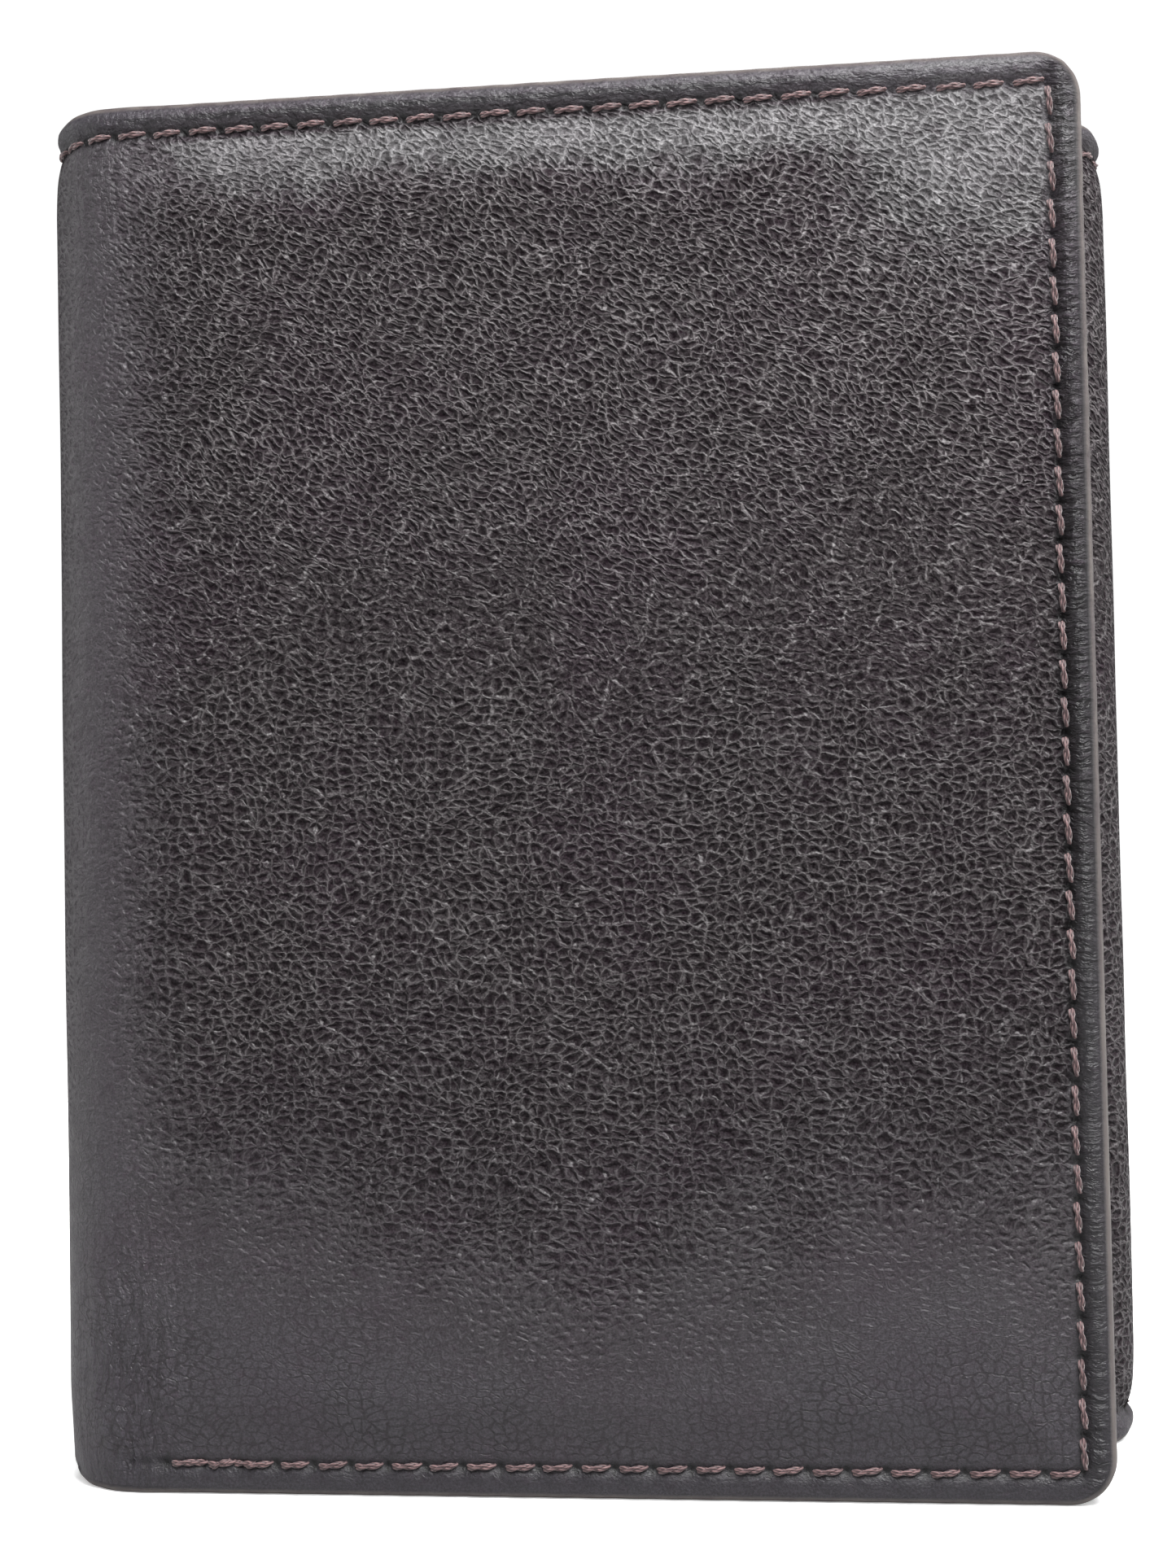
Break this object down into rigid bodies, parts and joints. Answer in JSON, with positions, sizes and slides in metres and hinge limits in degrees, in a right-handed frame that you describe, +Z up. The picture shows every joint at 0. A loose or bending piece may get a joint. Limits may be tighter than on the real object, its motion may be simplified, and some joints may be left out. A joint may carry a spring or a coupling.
{
  "type": "trifold wallet",
  "caption": "Leather trifold wallet that stands closed on its short edge: rounded folds, padded stitched front, and leaves that open flat to a bill compartment, card slots and a window.",
  "frame": {"origin": "middle of the back leather's bottom edge, half way through its thickness", "axes": "+X along the closed wallet's width towards the right fold, +Y out of the back face, +Z up along the height"},
  "size_m": [0.0869, 0.0262, 0.108],
  "materials": {
    "shell_leather": "dark brown-aubergine pebbled leather, satin",
    "inner_leather": "dark brown fine-grained leather, matt",
    "lining_fabric": "dark brown woven lining",
    "stiffener_board": "grey-brown fibre board and padding",
    "seam_thread": "twisted mauve-brown thread",
    "clear_window": "clear flexible plastic"
  },
  "bodies": {
    "middle": {"middle_shell": "shell_leather", "middle_stiffener": "stiffener_board", "middle_lining": "lining_fabric", "middle_bill_divider": "lining_fabric", "middle_inner_wall": "inner_leather", "id_window_sheet": "clear_window", "id_window_frame": "inner_leather", "middle_top_thread": "seam_thread", "middle_bottom_thread": "seam_thread"},
    "left_fold_1": {"left_fold_leather_1": "shell_leather", "left_fold_lining_1": "lining_fabric"},
    "left_fold_2": {"left_fold_leather_2": "shell_leather", "left_fold_lining_2": "lining_fabric"},
    "front": {"front_shell": "shell_leather", "front_seam_thread": "seam_thread", "front_padding": "stiffener_board", "front_lining": "lining_fabric", "front_bill_divider": "lining_fabric", "front_inner_wall": "inner_leather", "card_slot_1": "inner_leather", "card_slot_2": "inner_leather", "card_slot_3": "inner_leather"},
    "right_fold_1": {"right_fold_leather_1": "shell_leather", "right_fold_lining_1": "lining_fabric"},
    "right_fold_2": {"right_fold_leather_2": "shell_leather", "right_fold_lining_2": "lining_fabric"},
    "inner": {"inner_shell": "shell_leather", "inner_seam_thread": "seam_thread", "inner_stiffener": "stiffener_board", "inner_lining": "lining_fabric", "inner_wall": "inner_leather", "inner_slip_pocket": "inner_leather"}
  },
  "joints": [
    {"name": "wallet_opening", "type": "hinge", "parent": "middle", "child": "left_fold_1", "pos_m": [-0.03927, -0.0006, 0.054], "axis": [0, 0, -1], "range_deg": [-1.1, 56.6]},
    {"name": "left_fold_hinge_2", "type": "hinge", "parent": "left_fold_1", "child": "left_fold_2", "pos_m": [-0.04252, -0.00556, 0.054], "axis": [0, 0, -1], "range_deg": [-1.1, 56.6]},
    {"name": "left_fold_hinge_3", "type": "hinge", "parent": "left_fold_2", "child": "front", "pos_m": [-0.04018, -0.011, 0.054], "axis": [0, 0, -1], "range_deg": [-1.1, 56.6]},
    {"name": "right_fold_hinge_1", "type": "hinge", "parent": "middle", "child": "right_fold_1", "pos_m": [0.04027, -0.0006, 0.054], "axis": [0, 0, 1], "range_deg": [-1.2, 58.7]},
    {"name": "right_fold_hinge_2", "type": "hinge", "parent": "right_fold_1", "child": "right_fold_2", "pos_m": [0.04231, -0.00396, 0.054], "axis": [0, 0, 1], "range_deg": [-1.2, 58.7]},
    {"name": "right_fold_hinge_3", "type": "hinge", "parent": "right_fold_2", "child": "inner", "pos_m": [0.04051, -0.00745, 0.054], "axis": [0, 0, 1], "range_deg": [-1.2, 58.7]}
  ],
  "couplings": [
    {"joint": "left_fold_hinge_2", "follows": "wallet_opening", "ratio": 1},
    {"joint": "left_fold_hinge_3", "follows": "wallet_opening", "ratio": 1},
    {"joint": "right_fold_hinge_1", "follows": "wallet_opening", "ratio": 1.0353},
    {"joint": "right_fold_hinge_2", "follows": "wallet_opening", "ratio": 1.0353},
    {"joint": "right_fold_hinge_3", "follows": "wallet_opening", "ratio": 1.0353}
  ]
}
